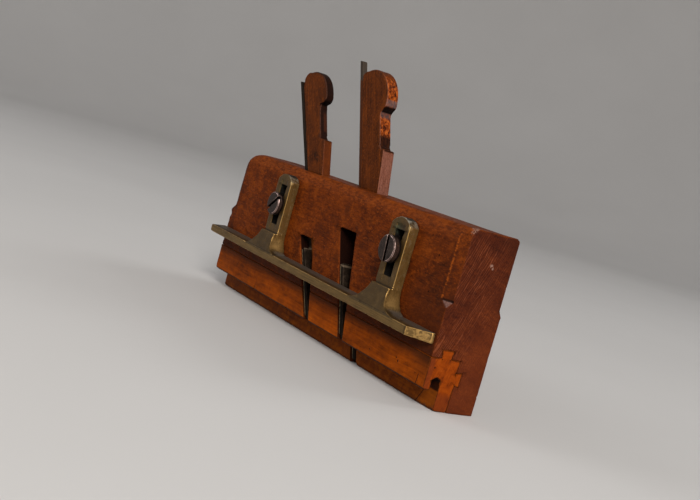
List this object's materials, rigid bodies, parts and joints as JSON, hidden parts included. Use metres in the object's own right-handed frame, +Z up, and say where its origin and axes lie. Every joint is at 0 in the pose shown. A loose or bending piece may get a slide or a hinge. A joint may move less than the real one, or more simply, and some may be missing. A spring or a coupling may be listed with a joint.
{
  "type": "moulding plane",
  "caption": "Wooden moulding plane with two wedged irons, a boxed bead sole with a fence, and a brass depth stop held by slotted screws.",
  "frame": {"origin": "on the sole of the fence, at mid length and mid width of the stock", "axes": "+X along the stock towards the toe, +Z up from the sole, -Y out of the side that has the escapements and the brass stop"},
  "size_m": [0.2429, 0.0455, 0.1596],
  "materials": {
    "beech": "old reddish brown beech with a waxed patina",
    "boxwood": "amber boxwood, worn smooth",
    "iron_steel": "dark oxidised forged steel",
    "wedge_wood": "glossy red-brown beech, darkened by handling",
    "brass": "old cast brass, olive brown tarnish with bright arrises",
    "screw_steel": "dark brown-black oxidised steel"
  },
  "bodies": {
    "body": {"stock": "beech", "boxing": "boxwood", "front_screw_nut": "screw_steel", "rear_screw_nut": "screw_steel"},
    "front_iron": {"front_iron": "iron_steel"},
    "rear_iron": {"rear_iron": "iron_steel"},
    "front_wedge": {"front_wedge": "wedge_wood"},
    "rear_wedge": {"rear_wedge": "wedge_wood"},
    "depth_stop": {"depth_stop": "brass"},
    "front_stop_screw": {"front_stop_screw": "screw_steel"},
    "rear_stop_screw": {"rear_stop_screw": "screw_steel"}
  },
  "joints": [
    {"name": "depth_stop_slide", "type": "slide", "parent": "body", "child": "depth_stop", "axis": [0, 0, 1], "range_m": [-0.0075, 0.009]},
    {"name": "front_wedge_slide", "type": "slide", "parent": "body", "child": "front_wedge", "axis": [-0.4462, 0, 0.8949], "range_m": [0, 0.07]},
    {"name": "rear_wedge_slide", "type": "slide", "parent": "body", "child": "rear_wedge", "axis": [-0.5592, 0, 0.829], "range_m": [0, 0.074]},
    {"name": "front_iron_slide", "type": "slide", "parent": "body", "child": "front_iron", "axis": [-0.4462, 0, 0.8949], "range_m": [-0.0015, 0.018]},
    {"name": "rear_iron_slide", "type": "slide", "parent": "body", "child": "rear_iron", "axis": [-0.5592, 0, 0.829], "range_m": [-0.0015, 0.006]},
    {"name": "front_stop_screw_turn", "type": "hinge", "parent": "body", "child": "front_stop_screw", "pos_m": [0.0752, -0.025, 0.0673], "axis": [0, -1, 0], "range_deg": [0, 360]},
    {"name": "rear_stop_screw_turn", "type": "hinge", "parent": "body", "child": "rear_stop_screw", "pos_m": [-0.0507, -0.025, 0.0658], "axis": [0, -1, 0], "range_deg": [0, 360]}
  ]
}
